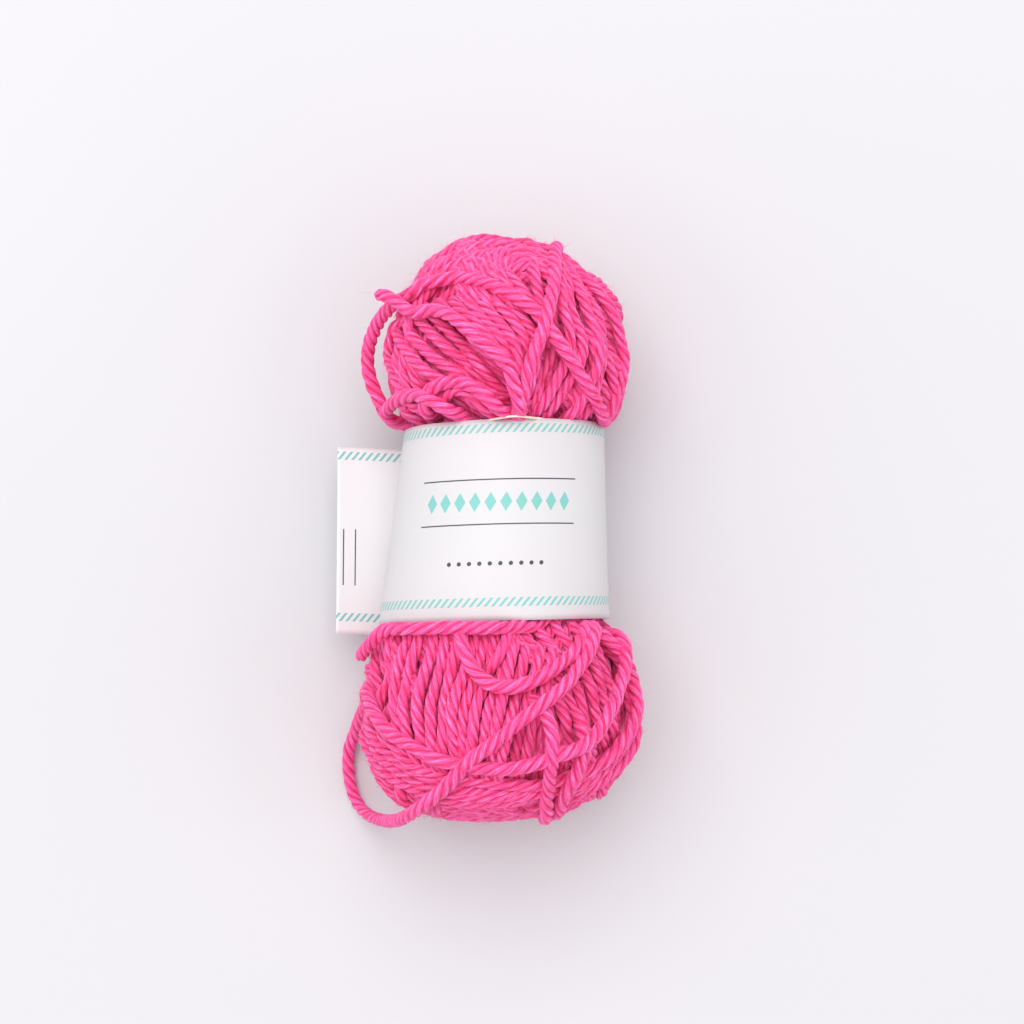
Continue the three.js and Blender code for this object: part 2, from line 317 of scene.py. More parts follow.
def walked(start, heading, far):
    """The line that a taut strand takes on the form from a point, for so far or until the band."""
    at, normal = (v[0] for v in on_form([start]))
    line = [at]
    aim = heading
    for _ in range(int(far / ROUTE_STEP)):
        aim = unit(aim - (aim @ normal) * normal)
        new, normal = (v[0] for v in on_form([at + aim * ROUTE_STEP]))
        aim = new - at
        at = new
        line.append(at)
        if len(line) > SETTING_OUT and abs(along_axis(at)) < BAND_HALF - UNDER_BAND:
            break
    return np.array(line)


# Laying the strands, each over those that are there already
class Laid:
    """A stretch of yarn on the ball: its line on the form, and how high it is stacked there.

    lift is how much it stands out of the winding. ends are the heights over the form that its
    start and its end must reach, or None.
    """

    def __init__(self, at, normals, stacked, lift, ends):
        self.at = at
        self.normals = normals
        self.stacked = stacked
        self.lift = lift
        self.ends = ends


class Strand:
    """One strand of yarn: its stretches, laid or loose, in their order.

    share is its thickness as a share of the yarn's. name is the CAD node of its loose part.
    """

    def __init__(self, stretches, share=1.0, name=None):
        self.name = name
        self.stretches = stretches
        self.share = share
        self.cord = None


STRANDS = []
LAID_AT = [np.zeros((0, 3))]
LAID_HEIGHT = [np.zeros(0)]
LAID_PROUD = [np.zeros(0, bool)]


def stacked_height(at):
    """Height of a strand's centre over the core, as it lies on the strands that are there."""
    old = np.concatenate(LAID_AT)
    old_height = np.concatenate(LAID_HEIGHT)
    near = ((old > at.min(0) - YARN) & (old < at.max(0) + YARN)).all(1)
    height = np.full(len(at), YARN / 2)
    if near.any():
        below = old_height[near][None]
        rise = STACK / (1 + (below / CROWDED) ** 3)
        gap = ((at[:, None] - old[near][None]) ** 2).sum(2) / SIDE_BY_SIDE**2
        lifted = below + rise * np.sqrt(np.clip(1 - gap, 0, None))
        height = np.maximum(height, np.where(gap < 1, lifted, 0).max(1))
    return height


def eased(height):
    """The height after the strand has bridged its dips, because it can't bend sharply."""
    far = np.arange(len(height)) * ROUTE_STEP
    drop = (far[:, None] - far[None]) ** 2 / (2 * BEND)
    return smoothed((height[None] - drop).max(1), reach=1.2)


def stretch(line, lift=0.0, ends=(None, None)):
    """A stretch of yarn laid along a line on the form, on what is there already."""
    at, normals = on_form(resampled(line, ROUTE_STEP))
    side = unit(np.cross(normals, np.gradient(at, axis=0)))
    at, normals = on_form(at + side * wander(len(at), wave=16, size=0.16)[:, None])
    height = eased(stacked_height(at) + lift) + wander(len(at), wave=10, size=0.05)
    LAID_AT.append(at)
    LAID_HEIGHT.append(height)
    LAID_PROUD.append(np.full(len(at), lift > 0))
    return Laid(at, unit(smoothed(normals, reach=2.0)), height, lift, ends)


def lay(line, lift=0.0):
    STRANDS.append(Strand([stretch(line, lift)], 1.0 if lift > 0 else PACKED))


class Tops:
    """How high the winding is stacked round each place, so that its outside can follow the form."""

    def __init__(self):
        rings = FORM_POINTS[1:-1].reshape(-1, FORM_SIDES, 3)
        self.places = rings[::TOP_STEP, ::TOP_STEP].reshape(-1, 3)
        plain = ~np.concatenate(LAID_PROUD)
        at, height = np.concatenate(LAID_AT)[plain], np.concatenate(LAID_HEIGHT)[plain]
        tops = []
        for place in self.places:
            near = ((at - place) ** 2).sum(1) < TOP_REACH**2
            enough = near.sum() > TOP_LEAST
            tops.append(np.percentile(height[near], TOP_SHARE) if enough else np.nan)
        known = np.isfinite(tops)
        self.places = self.places[known]
        self.tops = np.array(tops)[known]

    def at(self, points):
        """The stacked height at these points, averaged over the places round each."""
        gap = ((points[:, None] - self.places[None]) ** 2).sum(2)
        weight = np.exp(-gap / (2 * TOP_SOFT**2)) + 1e-9
        return weight @ self.tops / weight.sum(1)


def laid_centres(part, tops):
    """Centres of a laid stretch once the winding is settled onto the form."""
    over = np.maximum(part.stacked - tops.at(part.at) + TOP_OVER, DEEPEST)
    most = PRESSED + LIFT_ROOM * part.lift
    over = np.minimum(over, most + PRESS_SHARE * (over - most))
    far = np.arange(len(over)) * ROUTE_STEP
    for end, away, want in zip((0, -1), (far, far[-1] - far), part.ends):
        near_end = np.clip(1 - away / END_REACH, 0, 1) ** 2
        if want is not None:
            over = np.maximum(over, want - away**2 / (2 * RISE_BEND))
            over = over + (want - over[end]) * near_end
        elif abs(along_axis(part.at[end])) > BAND_HALF:
            over = over - END_SINKS * near_end
    beyond = np.maximum(np.abs(along_axis(part.at)) - BAND_HALF, 0)
    over = smoothed(np.minimum(over, EDGE_RISE * beyond - YARN / 2 - EDGE_GAP), reach=1.5)
    centres = part.at + part.normals * over[:, None]
    centres[:, 2] = np.maximum(centres[:, 2], YARN / 2 + TABLE_GAP)
    return centres


def settle(strand, tops):
    """Works out a strand's centre line, the form's normals along it, and which points are loose."""
    centres, normals, loose_part = [], [], []
    for part in strand.stretches:
        if isinstance(part, Laid):
            centres.append(laid_centres(part, tops))
            normals.append(part.normals)
        else:
            centres.append(part)
            normals.append(on_form(part)[1])
        loose_part.append(np.full(len(centres[-1]), not isinstance(part, Laid)))
    strand.centres = smoothed(np.vstack(centres), reach=1.4)
    strand.normals = np.vstack(normals)
    strand.loose = np.concatenate(loose_part)


def turns(count):
    """The order in which a fan's strands are laid, so that none climbs on all before it."""
    return [k for step, first in ((4, 0), (4, 2), (2, 1)) for k in range(first, count, step)]


def wraps(lobe, count, start, sweep, lean):
    """Strands that leave the band, pass over a lobe's end and come back to the band.

    lobe is 1 for the small lobe and -1 for the large one. The angles are in degrees.
    """
    for k in turns(count):
        off = RNG.uniform(-WRAP_UNEVEN, WRAP_UNEVEN)
        angle = math.radians(start + sweep * (k + off) / count)
        sin, cos = math.sin(angle), math.cos(angle)
        begin = laid(*np.array([WAIST_HALF * sin, lobe * (BAND_HALF - WRAP_FROM), WAIST_HALF * cos]))
        away = math.radians(lean + RNG.uniform(-LEAN_UNEVEN, LEAN_UNEVEN))
        tangent = np.array([cos, 0, -sin])
        heading = np.array([0, lobe * math.cos(away), 0]) + tangent * math.sin(away)
        lay(walked(begin, heading, WRAP_LENGTH))


def extended(line, before, after):
    """The line with a taut strand's way added at its start and its end."""
    if before:
        more = walked(line[0], line[0] - line[AIM_STEPS], before)
        line = np.vstack([more[::-1][:-1], line])
    if after:
        more = walked(line[-1], line[-1] - line[-1 - AIM_STEPS], after)
        line = np.vstack([line, more[1:]])
    return line


def route(pixels, before=0, after=0, lift=0.0):
    """One strand that follows the photograph."""
    lay(extended(seen(pixels), before, after), lift)


def fan(first, last, count, before=0, after=0):
    """Strands side by side, from one route of the photograph to another."""
    edges = []
    for pixels in (first, last):
        line = spline(pixels, per_span=6)
        own = np.arange(len(line))
        edges.append(at_places(line, own, np.linspace(0, own[-1], FAN_POINTS)))
    a, b = edges
    for k in turns(count):
        off = RNG.uniform(-FAN_UNEVEN, FAN_UNEVEN) * (0 < k < count - 1)
        share = (k + off) / max(count - 1, 1)
        line = np.array([seen_at(p) for p in a + (b - a) * share])
        lay(extended(line, before, after))


def over_form(point):
    """How far a point lies over the wound form."""
    at, normal = on_form([point])
    return float((np.asarray(point) - at[0]) @ normal[0])


def loose(name, pixels, points, after=0, lift=0.0):
    """A strand that lies on the ball, leaves it along a loose route and, if after is given, returns."""
    points = resampled(spline(points, per_span=4), ROUTE_STEP)
    start = on_form(points[:1])[0]
    parts = [stretch(np.vstack([seen(pixels), start]), lift, (None, over_form(points[0])))]
    low = points[[over_form(p) < LOW_LOOSE for p in points]]
    if len(low):
        at = on_form(low)[0]
        LAID_HEIGHT.append(stacked_height(at))
        LAID_AT.append(at)
        LAID_PROUD.append(np.ones(len(at), bool))
    parts.append(points)
    if after:
        end = on_form(points[-1:])[0][0]
        way = walked(end, points[-1] - points[-1 - LOOSE_AIM_STEPS], after)
        parts.append(stretch(way[1:], 0.0, (over_form(points[-1]), None)))
    STRANDS.append(Strand(parts, name=name))


def laid_tree():
    """All points of the laid strands, and a search tree over them."""
    at = np.concatenate(LAID_AT)
    tree = KDTree(len(at))
    for k, point in enumerate(at):
        tree.insert(point, k)
    tree.balance()
    return at, tree


def fill_gaps(lobe):
    """Short strands over the places that no strand covers, beside the strands nearest to them."""
    places = FORM_POINTS[1:-1]
    at, tree = laid_tree()
    for place in places[lobe * along_axis(places) > BAND_HALF + 0.5]:
        _, nearest, apart = tree.find(place)
        if apart < GAP:
            continue
        nearest = min(nearest, len(at) - 2)
        way = at[nearest + 1] - at[nearest]
        line = np.vstack([walked(place, -way, GAP_REACH)[:0:-1], walked(place, way, GAP_REACH)])
        lay(line, GAP_LIFT)
        at, tree = laid_tree()


# Winding of the two lobes, from the inside out, along pixels of the photograph
def wind_small_lobe():
    for wrap in SMALL_WRAPS:
        wraps(1, *wrap)
    # Crown
    fan(
        first=[(466, 248), (463, 262), (460, 276), (460, 290)],
        last=[(500, 246), (495, 262), (494, 280), (500, 296)],
        count=4, before=8, after=6,
    )
    # Left side
    route([(403, 336), (399, 369), (403, 394)], before=20, after=10)
    route([(393, 328), (385, 357), (389, 383), (401, 400)], before=20, after=10)
    # Under the large fan, beside the band
    fan(
        first=[(405, 352), (418, 366), (436, 380), (455, 394), (472, 408)],
        last=[(436, 322), (455, 340), (474, 362), (492, 384), (508, 404)],
        count=4, before=14, after=7,
    )
    fan(
        first=[(560, 372), (548, 392), (540, 410)],
        last=[(600, 372), (600, 392), (598, 412)],
        count=4, before=12, after=7,
    )
    # Right side
    fan(
        first=[(561, 283), (557, 313), (562, 336), (556, 361), (540, 388), (528, 406)],
        last=[(585, 275), (605, 300), (620, 330), (626, 360), (622, 390), (612, 415)],
        count=6, before=26, after=7,
    )
    # Large fan over the middle
    fan(
        first=[(430, 290), (440, 306), (455, 319), (470, 335), (486, 353), (499, 370), (513, 390)],
        last=[(507, 294), (519, 310), (529, 323), (537, 338), (535, 362), (527, 388)],
        count=6, before=3, after=8,
    )
    # Cap, and the eye below it
    fan(
        first=[(415, 285), (421, 270), (435, 256), (463, 241), (496, 232), (526, 236), (548, 253)],
        last=[(424, 290), (440, 272), (465, 258), (490, 250), (515, 250), (535, 258), (548, 270)],
        count=3, before=14, after=10,
    )
    eye = [(536, 262), (524, 256), (512, 257), (503, 265), (502, 280), (508, 295)]
    outer_eye = [(535, 256), (529, 251), (516, 247), (503, 250), (494, 260), (493, 275), (500, 290)]
    route(eye, before=5, after=6)
    route([(534, 258), (537, 275), (542, 292), (548, 312)], before=6, after=8)
    route(outer_eye, before=6, after=6)
    # Humps at the band, with the strands that cross between them
    route([(436, 412), (443, 396), (455, 390), (473, 397), (488, 412)], before=4, after=4)
    across = [(612, 432), (602, 417), (594, 399), (584, 384), (567, 358), (546, 328), (537, 314)]
    across += [(529, 309), (518, 301), (509, 295), (497, 288), (483, 282), (468, 279), (454, 279)]
    across += [(438, 283), (425, 288)]
    loose("loop_upper", across, LOOP_UPPER, after=10, lift=PROUD)
    steep = [(556, 248), (554, 270), (552, 290), (547, 306), (539, 336), (534, 351), (529, 364), (521, 400)]
    route(steep, before=26, after=7, lift=PROUD)
    loose("end_upper", [(522, 420), (518, 398), (511, 382)], END_UPPER, lift=PROUD)
    hump = [(428, 413), (430, 394), (446, 383), (462, 381), (486, 394), (505, 411)]
    low_hump = [(392, 424), (391, 411), (398, 400), (413, 395), (430, 396), (446, 404), (463, 418)]
    route(hump, before=4, after=5, lift=PROUD)
    route(low_hump, before=4, after=5, lift=PROUD)


def wind_large_lobe():
    for wrap in LARGE_WRAPS:
        wraps(-1, *wrap)
    # Right side, left side and middle
    fan(
        first=[(515, 626), (534, 655), (556, 690), (572, 722), (582, 752)],
        last=[(585, 622), (606, 650), (622, 690), (630, 730)],
        count=6, before=8, after=20,
    )
    fan(
        first=[(409, 626), (397, 668), (391, 702), (396, 735)],
        last=[(512, 626), (498, 683), (488, 708), (484, 752)],
        count=9, before=8, after=14,
    )
    fan(
        first=[(512, 655), (505, 690), (498, 720), (492, 755)],
        last=[(552, 665), (545, 690), (538, 720), (530, 755)],
        count=4, before=8, after=12,
    )
    route([(508, 630), (502, 652), (490, 668)], before=6, after=4)
    # Outline on the left and on the right
    left = [(389, 643), (379, 677), (371, 708), (377, 736), (387, 765), (401, 798)]
    right = [(612, 640), (627, 668), (633, 700), (630, 732), (618, 757), (601, 778)]
    outer = [(600, 625), (618, 645), (631, 675), (637, 705), (635, 735), (624, 760), (605, 782)]
    upper = [(606, 640), (622, 660), (630, 682), (632, 704), (627, 728), (613, 751), (594, 770), (575, 784)]
    route(left, before=10, after=14)
    route(right, before=12, after=20)
    route(outer, before=8, after=20)
    route(upper, before=8, after=10, lift=0.4)
    # Across the lower end
    fan(
        first=[(420, 778), (450, 790), (500, 796), (545, 792)],
        last=[(430, 800), (460, 806), (500, 808), (545, 803)],
        count=3, before=32, after=16,
    )
    end = [(395, 747), (411, 765), (432, 773), (448, 779), (473, 783), (503, 787), (530, 787), (545, 785)]
    route(end, before=12, after=12)
    # The last strands: two upright ones, one across between them and a bow at the band
    route([(581, 735), (577, 747), (571, 769), (566, 786), (560, 806)], before=3, after=12, lift=PROUD)
    across = [(372, 700), (379, 712), (393, 730), (422, 749), (446, 759), (471, 765), (495, 767)]
    across += [(520, 763), (540, 755), (556, 747), (577, 739), (593, 720), (607, 698), (616, 675)]
    across += [(618, 655)]
    route(across, before=22, after=10, lift=PROUD)
    route([(539, 712), (545, 730), (545, 753), (547, 783), (547, 806)], before=4, after=12, lift=PROUD)
    bow = [(455, 612), (462, 634), (467, 655), (475, 671), (487, 683), (503, 689)]
    bow += [(524, 686), (544, 675), (560, 663), (573, 651), (583, 634), (588, 614)]
    route(bow, before=4, after=5, lift=PROUD)
    loose("end_lower", [(562, 606), (552, 614), (542, 620), (528, 625), (514, 627)], END_LOWER)
    slant = [(600, 602), (593, 622), (587, 647), (575, 669), (556, 690)]
    slant += [(536, 708), (513, 726), (493, 743), (473, 757), (462, 768)]
    loose("loop_lower", slant, LOOP_LOWER, after=14, lift=PROUD)


# Surface of the yarn
SIDES = PLIES * len(PLY_SHAPE)
ROUND = 2 * math.pi * YARN / 2 / SIDES  # width of one facet round the yarn
TIP = 1.6  # length over which a free tip is rounded off
STRAND_GAP = 5.0  # from the end of one strand to the start of the next on the map along the yarn


def carried(tangents, start):
    """Directions square to a line, carried along it without turning about it."""
    side, out = start, []
    for tangent in tangents:
        side = side - (side @ tangent) * tangent
        side = side / np.linalg.norm(side)
        out.append(side)
    return np.array(out)


def rings_of(centres, start_normal, share):
    """Rings of vertices round a strand, which turn with its plies."""
    far = lengths(centres)
    tangents = unit(np.gradient(centres, axis=0))
    side = carried(tangents, start_normal)
    other = np.cross(tangents, side)
    twist = far / TURN + wander(len(centres), wave=14, size=0.08)
    turn = 2 * math.pi * (np.arange(SIDES)[None] / SIDES - twist[:, None] + RNG.random())
    plies = [1 + wander(len(centres), wave=9, size=0.04) for _ in range(PLIES)]
    shape = np.concatenate([np.outer(ply, PLY_SHAPE) for ply in plies], 1)
    radius = YARN / 2 * shape * share[:, None]
    across = np.cos(turn)[..., None] * side[:, None] + np.sin(turn)[..., None] * other[:, None]
    return centres[:, None] + radius[..., None] * across


def tip_share(count, at_end):
    """Thickness along a strand as a share: near 1, and rounded off at a free tip."""
    share = 1 + wander(count, wave=20, size=0.025)
    if at_end:
        left = np.arange(count)[::-1] * RING_STEP
        share = share * np.sqrt(np.clip(1 - (1 - left / TIP).clip(0) ** 2, 0.05, 1))
    return share


def surface(strand, begins):
    """Gives a strand its rings, with the form's normal at each, and marks its loose part."""
    far = lengths(strand.centres)
    strand.far = even_places(far, RING_STEP)
    strand.line = at_places(strand.centres, far, strand.far)
    strand.out = unit(at_places(strand.normals, far, strand.far))
    strand.begins = begins
    count = len(strand.far)
    free = np.flatnonzero(np.interp(strand.far, far, strand.loose.astype(float)) > 0.5)
    at_end = len(free) > 0 and free[-1] == count - 1
    if len(free):
        strand.cord = (free[0], free[-1])
    strand.returns = not at_end
    strand.rings = rings_of(strand.line, strand.out[0], strand.share * tip_share(count, at_end))


def tube_faces(count, sides):
    grid = np.arange(count * sides).reshape(count, sides)
    turned = np.roll(grid, -1, 1)
    return np.stack([grid[:-1], turned[:-1], turned[1:], grid[1:]], -1).reshape(-1, 4)


# What shows: a ring is kept if some of its surface sees the open
LOOKS = [(0.0, 0.0)]
LOOKS += [(math.radians(42), math.radians(a)) for a in range(0, 360, 60)]
LOOKS += [(math.radians(74), math.radians(a)) for a in range(0, 360, 45)]
LOOK_STEP = 2  # one ring of so many is tried, and the rings beside it share its answer
LOOK_REACH = 300.0
SKIN = YARN / 2 + 0.25  # from a strand's middle to where a look starts
HIDDEN_BY_BAND = 2.5  # how far inside the band's edge nothing shows


def cover(core):
    """A search tree over all that can hide a strand."""
    points, faces, first = [core[0]], [core[1]], len(core[0])
    for strand in STRANDS:
        rings = strand.rings[::LOOK_STEP, ::2]
        points.append(rings.reshape(-1, 3))
        faces.append(tube_faces(*rings.shape[:2]) + first)
        first += len(points[-1])
    return tree_of(np.vstack(points), np.vstack(faces))


def shows(strand, hiding):
    """Which rings of a strand show."""
    tangents = unit(np.gradient(strand.line, axis=0))
    across = unit(np.cross(tangents, strand.out))
    out = np.zeros(len(strand.line), bool)
    for i in range(0, len(out), LOOK_STEP):
        if abs(along_axis(strand.line[i])) < BAND_HALF - HIDDEN_BY_BAND:
            continue
        for tilt, turn in LOOKS:
            flat = math.cos(turn) * tangents[i] + math.sin(turn) * across[i]
            aim = math.cos(tilt) * strand.out[i] + math.sin(tilt) * flat
            start = strand.line[i] + aim * SKIN
            if hiding.ray_cast(Vector(start), Vector(aim), LOOK_REACH)[0] is None:
                out[max(0, i - LOOK_STEP) : i + LOOK_STEP + 1] = True
                break
    return out


FEWEST_RINGS = 4


def runs_of(flags):
    """Start of each stretch that is True, and the place after its end."""
    edges = np.flatnonzero(np.diff(np.concatenate([[0], flags.astype(int), [0]])))
    return [(a, b) for a, b in edges.reshape(-1, 2) if b - a >= FEWEST_RINGS]


# Meshes
def new_object(name, data):
    thing = bpy.data.objects.new(name, data)
    bpy.context.scene.collection.objects.link(thing)
    return thing


def new_mesh(name, points, quads, triangles, maps):
    """A mesh object from faces of four and of three corners, with UV maps given for each corner."""
    mesh = bpy.data.meshes.new(name)
    corners = np.concatenate([quads.ravel(), triangles.ravel()]).astype(np.int32)
    sizes = np.concatenate([np.full(len(quads), 4), np.full(len(triangles), 3)]).astype(np.int32)
    mesh.vertices.add(len(points))
    mesh.vertices.foreach_set("co", to_row(points).astype(np.float32).ravel())
    mesh.loops.add(len(corners))
    mesh.loops.foreach_set("vertex_index", corners)
    mesh.polygons.add(len(sizes))
    starts = np.cumsum(sizes) - sizes
    mesh.polygons.foreach_set("loop_start", starts.astype(np.int32))
    mesh.polygons.foreach_set("loop_total", sizes)
    mesh.update(calc_edges=True)
    mesh.polygons.foreach_set("use_smooth", np.ones(len(sizes), bool))
    for map_name, places in maps.items():
        layer = mesh.uv_layers.new(name=map_name)
        layer.data.foreach_set("uv", np.asarray(places, np.float32).ravel())
    mesh.validate()
    return new_object(name, mesh)


NO_TRIANGLES = np.zeros((0, 3), int)
ATLAS_EDGE = 0.04  # free edge of each strip of the map for baking, as a share of the strip
ATLAS_MARGIN = 0.002  # free edge of the whole map


class Tubes:
    """Closed tubes of yarn in one mesh, with a map along the yarn and a map for baking.

    A run is the rings of one tube and where it starts along the yarn. On the map for baking each
    span between two rings and each end of a tube has a cell, and rows of cells fill the square.
    """

    def __init__(self, runs):
        cells = sum(len(rings) + 1 for rings, _ in runs)
        self.rows = max(1, round(math.sqrt(cells * RING_STEP / (ROUND * SIDES))))
        self.columns = math.ceil(cells / self.rows)
        self.points = []
        self.faces = {4: [], 3: []}  # by number of corners, as the maps' places
        self.maps = {"Strand": {4: [], 3: []}, "OFBake": {4: [], 3: []}}
        first, cell = 0, 0
        for rings, start in runs:
            self.add_walls(rings, start, first, cell)
            self.add_ends(rings, start, first, cell)
            first += len(rings) * SIDES + 2
            cell += len(rings) + 1

    def keep(self, faces, along, around, cell, share):
        """Adds faces, with their corners' places along and round the yarn and along their cell."""
        size = faces.shape[1]
        self.faces[size].append(faces)
        strand = np.stack([along + 0 * around, around * ROUND], -1)
        row, column = cell // self.columns, cell % self.columns
        v = (row + ATLAS_EDGE + (1 - 2 * ATLAS_EDGE) * (around / SIDES)) / self.rows
        u = (column + share + 0 * around) / self.columns
        bake = np.stack([u * (1 - 2 * ATLAS_MARGIN) + ATLAS_MARGIN, v], -1)
        self.maps["Strand"][size].append(strand.reshape(-1, 2))
        self.maps["OFBake"][size].append(bake.reshape(-1, 2))

    def add_walls(self, rings, start, first, cell):
        """The faces between a tube's rings."""
        self.points.append(rings.reshape(-1, 3))
        spans = np.meshgrid(np.arange(len(rings) - 1), np.arange(SIDES), indexing="ij")
        ring, side = (v.reshape(-1, 1) for v in spans)
        steps, turned = np.array([0, 0, 1, 1]), np.array([0, 1, 1, 0])
        along = start + (ring + steps) * RING_STEP
        self.keep(tube_faces(len(rings), SIDES) + first, along, side + turned, cell + 1 + ring, steps)

    def add_ends(self, rings, start, first, cell):
        """The triangles that close a tube, round a point in the middle of each end."""
        k = np.arange(SIDES)
        last = len(rings) - 1
        middle = first + len(rings) * SIDES
        for ring, way, own_cell in ((0, -1, cell), (last, 1, cell + last + 1)):
            self.points.append(rings[ring].mean(0)[None])
            edge = first + ring * SIDES + np.stack([k, (k + 1) % SIDES][::way], 1)
            around = np.stack([k + 0.5, *([k, k + 1][::way])], 1)
            faces = np.hstack([np.full((SIDES, 1), middle), edge])
            self.keep(faces, start + ring * RING_STEP, around, own_cell, np.array([0, 0.5, 0.5]))
            middle += 1

    def piece(self, name):
        quads, triangles = (np.vstack(self.faces[size]) for size in (4, 3))
        maps = {key: np.vstack(parts[4] + parts[3]) for key, parts in self.maps.items()}
        return new_mesh(name, np.vstack(self.points), quads, triangles, maps)


# Paper band: a ring round the waist that widens towards the large lobe, and its loose end
BAND_THICK = 0.25
HALF_TOP, HALF_BOTTOM = 20.2, 23.1
SHIFT_TOP, SHIFT_BOTTOM = 0.15, -1.8
INSIDE = 0.35  # from the outline of its solid to its paper
LEAVES = math.radians(252)
UNDERLAP = math.radians(16)
TAIL_REACH = 34.3
TAIL_DROP = 2.5
BAND_LEAN = 0.026  # rise of the band's edges towards its right, as a slope
UNDER_STEP = 0.35  # how much nearer to the axis the paper's inner end lies
EDGE_FROM = 0.72  # share of the half width from which the paper's edges ripple of their own
TAIL_CUP, TAIL_WAVE = 0.9, 0.35  # how much the loose end is cupped and waved
# Ripples: size, waves round the ball, phase, and the phase's turn from edge to edge
RIPPLES = [(0.10, 3, 0, 2.0), (0.06, 7, 0, -3.1)]
EDGE_RIPPLES = [(0.16, 5, 1.3, 0), (0.08, 11, 0, 0)]
MAP_EVENS_OUT = (40, 66)  # where the paper's rows come to one length, out of sight below the ball
SLIP_FROM, SLIP_TO = 13.0, 22.0
BAND_STEPS = 200
TAIL_STEPS = 40
BAND_ROWS = 32


def smoothstep(x, low, high):
    t = np.clip((x - low) / (high - low), 0, 1)
    return t * t * (3 - 2 * t)


def band_outline():
    """The paper's line round the waist at the large lobe's side, and which of its points are loose."""
    angle = np.linspace(LEAVES + 2 * math.pi + UNDERLAP, LEAVES, BAND_STEPS)
    under = 1 - smoothstep(LEAVES + 2 * math.pi + UNDERLAP - angle, UNDERLAP, 2.5 * UNDERLAP)
    half = HALF_BOTTOM - INSIDE - UNDER_STEP * under
    ring = np.stack([half * np.cos(angle), half * np.sin(angle) * DEPTH_SHARE], 1)
    way = unit(np.array([math.sin(LEAVES), -math.cos(LEAVES) * DEPTH_SHARE]))
    far = (TAIL_REACH + ring[-1, 0]) / -way[0]
    tail = ring[-1] + way * np.linspace(0, far, TAIL_STEPS + 1)[1:, None]
    loose_part = np.concatenate([np.zeros(len(ring)), np.linspace(0, 1, TAIL_STEPS + 1)[1:]])
    return np.vstack([ring, tail]), loose_part


def rippled(ripples, angle, part):
    return sum(size * np.sin(waves * angle + phase + turn * part) for size, waves, phase, turn in ripples)


def band_surface(outline, on_tail, offset):
    """The paper's points, row by row across its width, at an offset along its normal."""
    way = unit(np.gradient(outline, axis=0))
    normal = np.stack([-way[:, 1], way[:, 0]], 1)
    angle = np.arctan2(outline[:, 1], outline[:, 0])
    free = on_tail > 0
    rows = []
    for part in np.linspace(0, 1, BAND_ROWS + 1):
        edge = np.maximum(0, np.abs(2 * part - 1) - EDGE_FROM) / (1 - EDGE_FROM)
        ripple = rippled(RIPPLES, angle, part) + edge**2 * rippled(EDGE_RIPPLES, angle, part)
        wave = TAIL_WAVE * np.sin(2.2 * part + 2.4 * on_tail)
        curl = on_tail**1.5 * (TAIL_CUP * (part - 0.5) ** 2 + wave)
        x, z = (outline + normal * (offset + ripple * ~free + curl)[:, None]).T
        slip = TAIL_DROP * free * smoothstep(-x, SLIP_FROM, SLIP_TO)
        straight = free * smoothstep(-x, SLIP_FROM, TAIL_REACH)
        scale = 1 + (HALF_TOP / HALF_BOTTOM - 1) * part
        shift = SHIFT_BOTTOM + (SHIFT_TOP - SHIFT_BOTTOM) * part
        across = (x * scale + shift) * (1 - straight) + x * straight
        y = (part - 0.5) * 2 * BAND_HALF - slip + BAND_LEAN * x * (1 - straight)
        rows.append(laid(across, y, z * (scale * (1 - straight) + straight)))
    return np.array(rows)


def paper_band():
    """The strip of paper as one closed sheet, with a map in millimetres from its front's middle.

    Returns its mesh and how far along the map its loose end reaches.
    """
    outline, on_tail = band_outline()
    sheets = [band_surface(outline, on_tail, side * BAND_THICK / 2) for side in (1, -1)]
    rows, columns = sheets[0].shape[:2]
    grid = np.arange(rows * columns).reshape(rows, columns)
    corners = (grid[:-1, :-1], grid[:-1, 1:], grid[1:, 1:], grid[1:, :-1])
    walls = [np.stack(corners, -1).reshape(-1, 4)]
    walls.append(walls[0][:, ::-1] + rows * columns)
    for line in (grid[0], grid[:, -1], grid[-1][::-1], grid[::-1, 0]):
        other = line + rows * columns
        walls.append(np.stack([line[1:], line[:-1], other[:-1], other[1:]], 1))
    front = np.argmax(outline[:, 1] * (on_tail == 0))
    along = np.stack([lengths(row) for row in sheets[0]])
    along -= along[:, front : front + 1]
    tail_end = along[:, -1].mean()
    along += (tail_end - along[:, -1:]) * smoothstep(along, *MAP_EVENS_OUT)
    across = np.repeat((np.linspace(0, 1, rows) - 0.5) * 2 * BAND_HALF, columns)
    places = np.vstack([np.stack([way * along.ravel(), across], 1) for way in (1, -1)])
    quads = np.vstack(walls)
    points = np.vstack([sheet.reshape(-1, 3) for sheet in sheets])
    piece = new_mesh("band_paper", points, quads, NO_TRIANGLES, {"Paper": places[quads.ravel()]})
    return piece, float(tail_end)


# Cream thread that shows over the band's edge, along these pixels of the photograph
THREAD = [(486, 421), (492, 414), (505, 410), (516, 408.5), (525, 411), (535, 415), (546, 417), (552, 423)]
THREAD_HALF = 0.22
THREAD_STEP = 0.4
THREAD_OVER = 0.2
THREAD_NEAR = 14.0  # strands farther than this from its middle can't touch it


def plain_tube(centres, half, sides=8):
    """Rings of a plain round tube."""
    tangents = unit(np.gradient(centres, axis=0))
    side = carried(tangents, on_form(centres[:1])[1][0])
    other = np.cross(tangents, side)
    turn = 2 * math.pi * np.arange(sides) / sides
    return centres[:, None] + half * (
        np.cos(turn)[:, None] * side[:, None] + np.sin(turn)[:, None] * other[:, None]
    )


